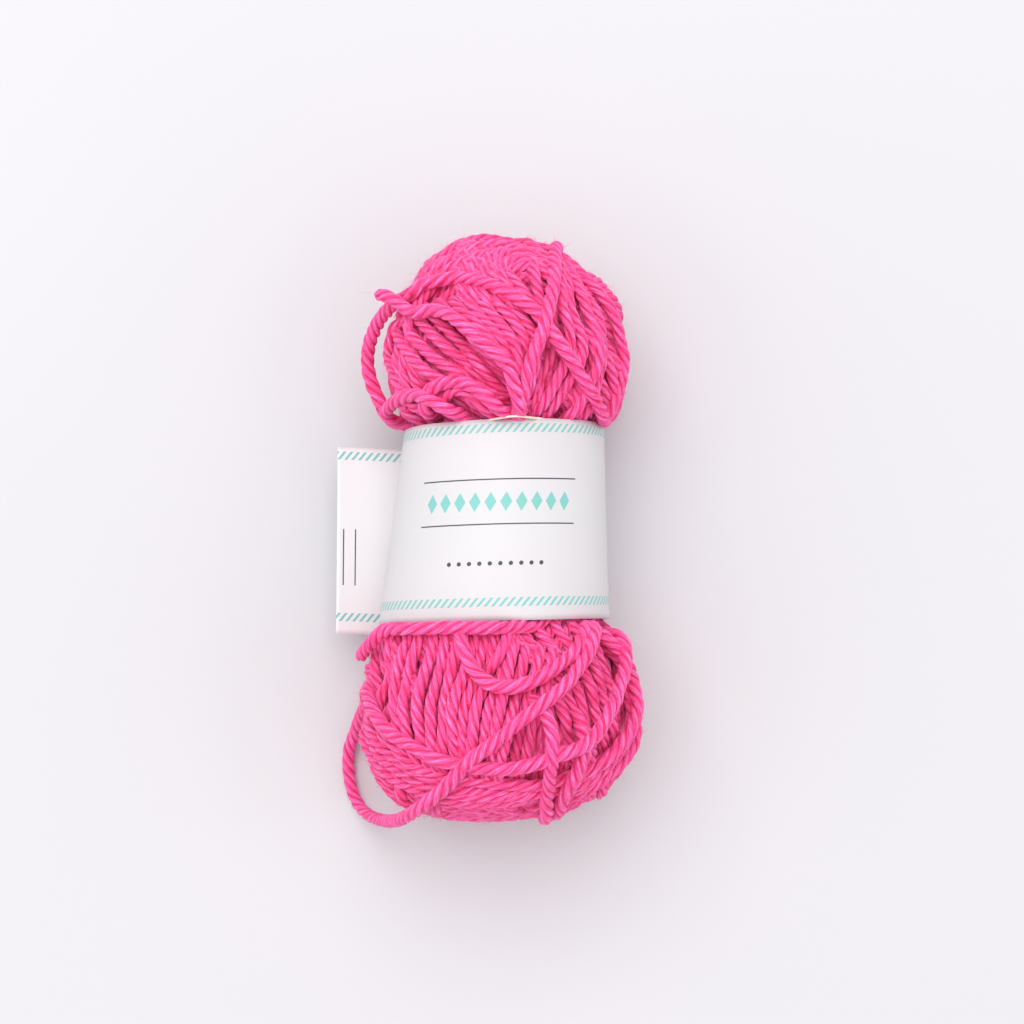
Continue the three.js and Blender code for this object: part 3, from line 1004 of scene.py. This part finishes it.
def closed_tube(name, rings):
    """A closed mesh of one tube."""
    count, sides = rings.shape[:2]
    points = np.vstack([rings.reshape(-1, 3), rings[0].mean(0)[None], rings[-1].mean(0)[None]])
    k = np.arange(sides)
    last = (count - 1) * sides
    start = np.stack([0 * k + count * sides, (k + 1) % sides, k], 1)
    end = np.stack([0 * k + count * sides + 1, last + k, last + (k + 1) % sides], 1)
    return new_mesh(name, points, tube_faces(count, sides), np.vstack([start, end]), {})


def over_winding(at, normals):
    """How high a thread must stand over the form to lie on the strands."""
    lines = np.vstack([s.line for s in STRANDS])
    near = lines[np.linalg.norm(lines - at.mean(0), axis=1) < THREAD_NEAR]
    apart = near[None] - at[:, None]
    up = (apart * normals[:, None]).sum(2)
    aside = (apart**2).sum(2) - up**2
    reach = YARN / 2 + THREAD_HALF
    return np.where(aside < reach**2, up + np.sqrt(np.clip(reach**2 - aside, 0, None)), 0).max(1)


def cream_thread():
    line = np.array([seen_at(p) for p in spline(THREAD, per_span=4)])
    at, normals = on_form(smoothed(resampled(line, THREAD_STEP), reach=1.5))
    ends = np.minimum(1, 5 * np.sin(np.linspace(0, math.pi, len(at))))
    height = THREAD_OVER + smoothed(over_winding(at, normals), reach=5.0) * ends
    centres = smoothed(at + normals * height[:, None], reach=4.0)
    return closed_tube("thread", plain_tube(centres, THREAD_HALF))


# Core under the strands, which shows only in the gaps, in darker pinks that are painted shade
def core_mesh():
    return FORM_POINTS - FORM_NORMALS * (LAYERS_DEPTH - CORE_RISE), FORM_FACES


def core_piece(points, faces):
    """The core's mesh. Its faces at the poles have a repeated corner, which is dropped."""
    whole = (faces[:, 2] != faces[:, 3]) & (faces[:, 0] != faces[:, 1])
    triangles = np.array([list(dict.fromkeys(f)) for f in faces[~whole].tolist()])
    return new_mesh("core", points, faces[whole], triangles, {})


# Fuzz: fine fibres that stand off the yarn
HAIRS = 20000
HAIR_SIDES = 3
HAIR_HALF = (0.030, 0.022)  # half the thickness of a fibre at its root and at its middle
HAIR_BEND = 0.45  # how far a fibre's tip is bent aside, as a share of its length
HAIR_AROUND = 1.5  # angle from a strand's outward side within which fibres root
HAIR_ROOT = 0.82  # from a strand's middle to their roots, as a share of its radius
HAIR_SHIFT = 0.4  # how far a root is moved along its strand
HAIR_OUT, HAIR_ALONG = (0.2, 1.0), 0.8  # how much fibres point outwards, and along their strand
HAIR_LONG = (0.6, 3.6)
HAIR_USUAL = (0.2, 0.5)  # mean and spread of the logarithm of their length
HAIR_TABLE_GAP = 0.04
FUZZ_SHARES = (0.45, 0.55)  # of the small and of the large lobe


def hair_rings(root, aim, bend, length):
    """Vertices of each fibre: a ring at its root, one at its middle, and its tip."""
    aside = unit(np.cross(aim, bend))
    other = unit(np.cross(aim, aside))
    points = []
    for part, half in zip((0.0, 0.5), HAIR_HALF):
        at = root + length * (aim * part + bend * HAIR_BEND * part**2)
        for k in range(HAIR_SIDES):
            a = 2 * math.pi * k / HAIR_SIDES
            points.append(at + half * (math.cos(a) * aside + math.sin(a) * other))
    points.append(root + length * (aim + bend * HAIR_BEND))
    return np.stack(points, 1)


def hair_faces(count):
    """Sides of all fibres, and the triangles of their tips and roots."""
    first = np.arange(count)[:, None] * (2 * HAIR_SIDES + 1)
    k = np.arange(HAIR_SIDES)
    after = (k + 1) % HAIR_SIDES
    tip = 0 * k + 2 * HAIR_SIDES
    quads = first[..., None] + np.stack([k, after, HAIR_SIDES + after, HAIR_SIDES + k], 1)
    tips = first[..., None] + np.stack([HAIR_SIDES + k, HAIR_SIDES + after, tip], 1)
    return quads.reshape(-1, 4), np.vstack([tips.reshape(-1, 3), first + np.array([[0, 2, 1]])])


def fuzz_piece(name, strands, count):
    """Fine closed fibres, rooted on what shows of the strands."""

    def spread(low, high):
        return RNG.uniform(low, high, count)[:, None]

    roots = np.vstack([s.line[s.visible] for s in strands])
    outs = np.vstack([s.out[s.visible] for s in strands])
    ways = np.vstack([unit(np.gradient(s.line, axis=0))[s.visible] for s in strands])
    chosen = RNG.integers(0, len(roots), count)
    root, out, way = roots[chosen], outs[chosen], ways[chosen]
    across = unit(np.cross(way, out))
    turn = spread(-HAIR_AROUND, HAIR_AROUND)
    radial = np.cos(turn) * out + np.sin(turn) * across
    root = root + radial * (YARN / 2 * HAIR_ROOT) + way * spread(-HAIR_SHIFT, HAIR_SHIFT)
    aim = unit(radial * spread(*HAIR_OUT) + way * RNG.normal(0, HAIR_ALONG, count)[:, None])
    bend = unit(RNG.normal(size=(count, 3)))
    length = np.clip(RNG.lognormal(*HAIR_USUAL, count), *HAIR_LONG)[:, None]
    points = hair_rings(root, aim, bend, length)
    points[..., 2] = np.maximum(points[..., 2], HAIR_TABLE_GAP)
    return new_mesh(name, points.reshape(-1, 3), *hair_faces(count), {})


# Materials
def srgb(red, green, blue):
    """Linear colour of a colour that is given as it looks, in steps of 255."""
    share = np.array([red, green, blue]) / 255
    linear = np.where(share <= 0.04045, share / 12.92, ((share + 0.055) / 1.055) ** 2.4)
    return (*linear.tolist(), 1.0)


class Nodes:
    """Short ways to make and join shader nodes."""

    def __init__(self, name):
        self.material = bpy.data.materials.new(name)
        self.material.use_nodes = True
        self.tree = self.material.node_tree
        self.shader = self.tree.nodes["Principled BSDF"]

    def add(self, kind, **values):
        node = self.tree.nodes.new(kind)
        for key, value in values.items():
            setattr(node, key, value)
        return node

    def join(self, source, target):
        self.tree.links.new(source, target)

    def put(self, socket, value):
        """Sets a socket to a number or colour, or joins another node's socket to it."""
        if isinstance(value, bpy.types.NodeSocket):
            self.join(value, socket)
        else:
            socket.default_value = value

    def math(self, operation, *values):
        node = self.add("ShaderNodeMath", operation=operation)
        for socket, value in zip(node.inputs, values):
            self.put(socket, value)
        return node.outputs[0]

    def times(self, a, b):
        return self.math("MULTIPLY", a, b)

    def less(self, a, b):
        """a minus b."""
        return self.math("SUBTRACT", a, b)

    def place(self):
        return self.add("ShaderNodeTexCoord").outputs["Object"]

    def split(self, map_name):
        """The two coordinates of a UV map."""
        uv = self.add("ShaderNodeUVMap", uv_map=map_name)
        parts = self.add("ShaderNodeSeparateXYZ")
        self.join(uv.outputs[0], parts.inputs[0])
        return parts.outputs[0], parts.outputs[1]

    def vector(self, x, y, z=0.0):
        node = self.add("ShaderNodeCombineXYZ")
        for socket, value in zip(node.inputs, (x, y, z)):
            self.put(socket, value)
        return node.outputs[0]

    def noise(self, vector, scale, detail=3.0, rough=0.5):
        node = self.add("ShaderNodeTexNoise")
        self.put(node.inputs["Vector"], vector)
        self.put(node.inputs["Scale"], scale)
        self.put(node.inputs["Detail"], detail)
        self.put(node.inputs["Roughness"], rough)
        return node.outputs[0]

    def ramp(self, value, stops):
        node = self.add("ShaderNodeValToRGB")
        ramp = node.color_ramp
        while len(ramp.elements) < len(stops):
            ramp.elements.new(0.5)
        for element, (place, colour) in zip(ramp.elements, stops):
            element.position = place
            element.color = colour
        self.put(node.inputs[0], value)
        return node.outputs[0]

    def mix(self, share, a, b):
        node = self.add("ShaderNodeMix", data_type="RGBA")
        for socket, value in zip((node.inputs[0], node.inputs[6], node.inputs[7]), (share, a, b)):
            self.put(socket, value)
        return node.outputs[2]

    def bump(self, height, strength, distance):
        node = self.add("ShaderNodeBump")
        node.inputs["Strength"].default_value = strength
        node.inputs["Distance"].default_value = distance
        self.put(node.inputs["Height"], height)
        self.join(node.outputs[0], self.shader.inputs["Normal"])

    def set(self, **values):
        for name, value in values.items():
            self.put(self.shader.inputs[name.replace("_", " ")], value)


# The deepest yarn pink is painted shade and the lightest is a painted highlight; the pink between them is
# the yarn's own colour.
PINK_PAINTED_SHADE, PINK, PINK_PAINTED_HIGHLIGHT = srgb(213, 10, 78), srgb(252, 72, 146), srgb(255, 144, 216)
SHEEN = srgb(255, 150, 220)
# Darker pinks of the core: painted shade for the deep gaps between strands.
CORE_SHADED_PINKS = srgb(170, 10, 62), srgb(218, 26, 94)
FUZZ_PINKS = srgb(248, 66, 142), srgb(255, 128, 186)
CREAMS = srgb(252, 214, 190), srgb(255, 240, 222)
FLOOR_GREYS = srgb(205, 204, 207), srgb(209, 208, 210)
TURQUOISE = srgb(122, 189, 181)
PRINT_GREY = srgb(74, 70, 78)
PAPER, PAPER_DULL = srgb(209, 207, 208), srgb(203, 201, 202)
# Lighter paper for the loose end: painted light that lifts the shade the ball casts on it.
PAPER_PAINTED_LIGHT = srgb(226, 224, 225)
FINE, COARSE = (0.45, 3.4), (0.25, 1.3)  # scales of the fibres' patterns, along and round the yarn


def yarn_material():
    """Plied yarn: fibres that run along each ply, with painted shade in the grooves between plies and a
    painted highlight colour on the lightest fibre streaks.
    """
    n = Nodes("yarn_fibres")
    along, around = n.split("Strand")
    fine = n.vector(n.times(along, FINE[0]), n.times(around, FINE[1]))
    fibres = n.noise(fine, 1.0, detail=5.0, rough=0.65)
    coarse = n.vector(n.times(along, COARSE[0]), n.times(around, COARSE[1]), 3.0)
    coarse = n.noise(coarse, 1.0, detail=2.0)
    ply = n.math("COSINE", n.times(around, 2 * math.pi / (ROUND * len(PLY_SHAPE))))
    # Painted shade: the colour is darkened towards the groove between each pair of plies.
    groove_shade = n.math("POWER", n.math("MULTIPLY_ADD", ply, 0.5, 0.5), 3.0)
    blend = n.math("MULTIPLY_ADD", fibres, 1.5, n.math("MULTIPLY_ADD", coarse, 0.6, -0.5))
    shade = n.less(blend, n.times(groove_shade, 0.34))
    # The ramp's dark end is painted shade and its light end a painted highlight, spread at random along the
    # fibre streaks.
    n.set(Base_Color=n.ramp(shade, [(0.10, PINK_PAINTED_SHADE), (0.50, PINK), (0.85, PINK_PAINTED_HIGHLIGHT)]))
    n.set(Roughness=0.55, Sheen_Weight=0.4, Sheen_Roughness=0.45, Specular_IOR_Level=0.4)
    n.set(Sheen_Tint=SHEEN)
    n.bump(n.math("ADD", fibres, n.times(coarse, 0.6)), strength=0.75, distance=0.0003)
    return n.material


def spotted_material(name, scale, colours, limits=(0.3, 0.7), detail=2.0, rough=0.5, bump=None, **looks):
    """A material without a pattern of its own, in soft spots between two colours."""
    n = Nodes(name)
    spots = n.noise(n.place(), scale, detail, rough)
    n.set(Base_Color=n.ramp(spots, list(zip(limits, colours))), **looks)
    if bump:
        n.bump(spots, *bump)
    return n.material


DASH_PITCH = 1.43
DASH_LONG = 0.42  # width of a dash as a share of the pitch
DASH_SLANT = 0.8
TOP_DASHES = (0.9, 2.6)  # how far below the paper's upper edge they start and end
BOTTOM_DASHES = (2.7, 4.4)  # how far above its lower edge
ROW_SPAN = 15.0  # from the front's middle to the end of its row of diamonds
RULES_SPAN = 16.0
DIAMOND_PITCH = 3.0
DIAMOND_WIDE, DIAMOND_HIGH = 1.15, 1.9
DIAMONDS_AT = 3.4
RULES = 4.3  # from the middle of the diamonds to the rules on each side
RULE_HALF = 0.13
DOT_PITCH = 2.0
DOT_HALF = 0.42
DOTS_AT = -8.4
DOTS_SPAN = 5 * DOT_PITCH
END_RULES = (1.4, 3.9)  # from the loose end's edge to its two rules
END_RULE_LOW, END_RULE_HIGH = -9.2, 2.4
PAINTED_LIGHT_FROM = 26.0  # from the loose end's edge to where its painted light, a lighter paper colour, goes out of sight


def between(n, value, low, high):
    """1 where a value lies between two limits."""
    return n.times(n.math("GREATER_THAN", value, low), n.math("LESS_THAN", value, high))


def from_cell(n, along, pitch):
    """Distance along the paper from the middle of the nearest of a row of marks."""
    cell = n.less(n.math("FRACT", n.math("DIVIDE", along, pitch)), 0.5)
    return n.times(n.math("ABSOLUTE", cell), pitch)


def dashes(n, along, across):
    """Slanted dashes along both edges of the paper."""
    slanted = n.less(along, n.times(across, DASH_SLANT))
    dash = n.math("LESS_THAN", n.math("FRACT", n.math("DIVIDE", slanted, DASH_PITCH)), DASH_LONG)
    top = between(n, across, BAND_HALF - TOP_DASHES[1], BAND_HALF - TOP_DASHES[0])
    bottom = between(n, across, BOTTOM_DASHES[0] - BAND_HALF, BOTTOM_DASHES[1] - BAND_HALF)
    return n.times(dash, n.math("ADD", top, bottom))


def diamonds(n, along, height):
    """A row of plain diamonds across the front."""
    wide = n.math("DIVIDE", from_cell(n, along, DIAMOND_PITCH), DIAMOND_WIDE)
    high = n.math("DIVIDE", n.math("ABSOLUTE", height), DIAMOND_HIGH)
    in_row_or_painted_light = between(n, along, -ROW_SPAN, ROW_SPAN)
    return n.times(n.math("LESS_THAN", n.math("ADD", wide, high), 1.0), in_row_or_painted_light)


def grey_marks(n, along, across, height, tail_end):
    """Two rules beside the diamonds, a row of dots below them and two rules on the loose end."""
    off = n.math("ABSOLUTE", n.less(n.math("ABSOLUTE", height), RULES))
    on_front = between(n, along, -RULES_SPAN, RULES_SPAN)
    rules = n.times(n.math("LESS_THAN", off, RULE_HALF), on_front)
    aside = n.math("POWER", from_cell(n, along, DOT_PITCH), 2.0)
    up = n.less(across, DOTS_AT)
    dot = n.math("LESS_THAN", n.math("MULTIPLY_ADD", up, up, aside), DOT_HALF**2)
    marks = n.math("MAXIMUM", rules, n.times(dot, between(n, along, -DOTS_SPAN, DOTS_SPAN)))
    for place in END_RULES:
        line = between(n, along, place - RULE_HALF - tail_end, place + RULE_HALF - tail_end)
        part = n.times(line, between(n, across, END_RULE_LOW, END_RULE_HIGH))
        marks = n.math("MAXIMUM", marks, part)
    return marks


def paper_material(tail_end):
    """Uncoated paper with slanted dashes along its edges and a plain row of diamonds, and painted light
    that makes its loose end lighter.
    """
    n = Nodes("band_paper")
    along, across = n.split("Paper")
    height = n.less(across, DIAMONDS_AT)
    place = n.place()
    grain = n.noise(place, 2600.0, detail=3.0)
    cloud = n.noise(place, 60.0, detail=2.0)
    blend = n.math("MULTIPLY_ADD", cloud, 0.6, n.times(grain, 0.4))
    paper = n.ramp(blend, [(0.25, PAPER_DULL), (0.75, PAPER)])
    coloured = n.math("MAXIMUM", dashes(n, along, across), diamonds(n, along, height))
    # Painted light: the loose end's paper near its edge gets the lighter colour.
    in_row_or_painted_light = n.math("LESS_THAN", along, PAINTED_LIGHT_FROM - tail_end)
    inked = n.mix(coloured, n.mix(in_row_or_painted_light, paper, PAPER_PAINTED_LIGHT), TURQUOISE)
    n.set(Base_Color=n.mix(grey_marks(n, along, across, height, tail_end), inked, PRINT_GREY))
    n.set(Roughness=0.5, Specular_IOR_Level=0.4)
    n.bump(grain, strength=0.12, distance=0.00008)
    return n.material


# Floor, light and camera
def make_camera():
    camera = new_object("camera", bpy.data.cameras.new("camera"))
    camera.data.sensor_width = SENSOR
    camera.data.lens = SENSOR * DISTANCE * PIXELS_PER_MM / IMAGE
    right = np.array([1.0, 0, 0])
    turn = Matrix(np.stack([right, CAMERA_UP, TO_CAMERA], 1).tolist()).to_4x4()
    camera.matrix_world = Matrix.Translation(Vector(to_row(CAMERA_AT))) @ turn
    bpy.context.scene.camera = camera


FLOOR = 4.0  # metres each way
WORLD_COLOUR, WORLD_STRENGTH = (0.97, 0.965, 1.0, 1), 0.89
LIGHT_SIZE = 0.9
# Square area lights that look at the ball: place in metres, power, colour
LIGHTS = {
    "key": ((-0.12, 0.45, 1.0), 8.0, (1, 0.99, 0.98)),
    "left": ((-0.8, -0.2, 0.6), 1.4, (0.98, 0.98, 1)),
    "right": ((0.8, -0.2, 0.6), 1.3, (0.98, 0.98, 1)),
}


def make_floor():
    half = FLOOR / 2
    corners = [(-half, -half, 0), (half, -half, 0), (half, half, 0), (-half, half, 0)]
    mesh = bpy.data.meshes.new("floor")
    mesh.from_pydata(corners, [], [(0, 1, 2, 3)])
    looks = dict(limits=(0.2, 0.8), Roughness=0.8, Specular_IOR_Level=0.2)
    mesh.materials.append(spotted_material("floor", 4.0, FLOOR_GREYS, **looks))
    new_object("floor", mesh)


def make_lights():
    world = bpy.data.worlds.new("studio")
    world.use_nodes = True
    background = world.node_tree.nodes["Background"]
    background.inputs[0].default_value = WORLD_COLOUR
    background.inputs[1].default_value = WORLD_STRENGTH
    bpy.context.scene.world = world
    for name, (at, power, colour) in LIGHTS.items():
        light = bpy.data.lights.new(name, "AREA")
        light.size = LIGHT_SIZE
        light.energy = power
        light.color = colour
        lamp = new_object(name, light)
        lamp.location = at
        lamp.rotation_euler = (-Vector(at)).to_track_quat("-Z", "Y").to_euler()


# Putting it together
def finish_piece(piece, material, slot, *nodes):
    piece.data.materials.append(material)
    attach(piece, "root")
    if nodes:
        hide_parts(*nodes)


def make_cords(material):
    """The loose parts of the strands, each a cord of its own."""
    for strand in STRANDS:
        if not strand.cord:
            continue
        first, last = strand.cord
        run = (strand.rings[first : last + 1], strand.begins + strand.far[first])
        piece = Tubes([run]).piece(strand.name + "_yarn")
        finish_piece(piece, material, "yarn", strand.name)


SIDES_FROM = 9.0  # the winding's sides reach this far over and under the axis


def make_winding(material):
    """The strands on the ball, joined into a few pieces by lobe and side."""
    groups = {}
    for strand in STRANDS:
        visible = strand.visible.copy()
        if strand.cord:
            visible[strand.cord[0] + 1 : strand.cord[1]] = False
        for a, b in runs_of(visible):
            middle = strand.line[a:b].mean(0)
            height = middle[2] - AXIS_HEIGHT
            side = "sides" if -SIDES_FROM <= height < SIDES_FROM else "face" if height > 0 else "back"
            lobe = "small" if middle[1] > 0 else "large"
            run = (strand.rings[a:b], strand.begins + a * RING_STEP)
            groups.setdefault(f"winding_{lobe}_{side}", []).append(run)
    for name, runs in sorted(groups.items()):
        finish_piece(Tubes(runs).piece(name), material, "yarn", "ball")


def lay_yarn():
    """Winds the ball, and gives every strand its surface."""
    wind_small_lobe()
    wind_large_lobe()
    for lobe in (1, -1):
        fill_gaps(lobe)
    tops = Tops()
    begins = 0.0
    for strand in STRANDS:
        settle(strand, tops)
        surface(strand, begins)
        begins += strand.far[-1] + STRAND_GAP


def make_yarn():
    """The cords, the winding and the core."""
    yarn = yarn_material()
    make_cords(yarn)
    core = core_mesh()
    hiding = cover(core)
    for strand in STRANDS:
        strand.visible = shows(strand, hiding)
        if strand.cord:
            strand.visible[strand.cord[0] : strand.cord[1] + 1] = True
    make_winding(yarn)
    looks = dict(detail=4.0, rough=0.6, bump=(0.5, 0.0004))
    looks.update(Roughness=0.75, Sheen_Weight=0.25, Specular_IOR_Level=0.3)
    # Painted shade: the core is coloured a darker pink than the yarn.
    core_pink = spotted_material("yarn_core_painted_shade", 500.0, CORE_SHADED_PINKS, **looks)
    finish_piece(core_piece(*core), core_pink, "yarn", "ball")


def make_thread():
    looks = dict(Roughness=0.7, bump=(0.4, 0.0001))
    finish_piece(cream_thread(), spotted_material("cream_thread", 1500.0, CREAMS, **looks), "yarn")


def make_fuzz():
    material = spotted_material("yarn_fuzz", 700.0, FUZZ_PINKS, Roughness=0.6, Sheen_Weight=0.4)
    for name, side, share in zip(("fuzz_small", "fuzz_large"), (1, -1), FUZZ_SHARES):
        strands = [s for s in STRANDS if side * s.line[:, 1].mean() > 0]
        finish_piece(fuzz_piece(name, strands, int(HAIRS * share)), material, "yarn")


def main():
    bpy.context.scene.view_settings.view_transform = "Standard"
    make_camera()
    lay_yarn()
    make_yarn()
    band, tail_end = paper_band()
    finish_piece(band, paper_material(tail_end), "paper", "band")
    make_thread()
    make_fuzz()
    make_floor()
    make_lights()


main()
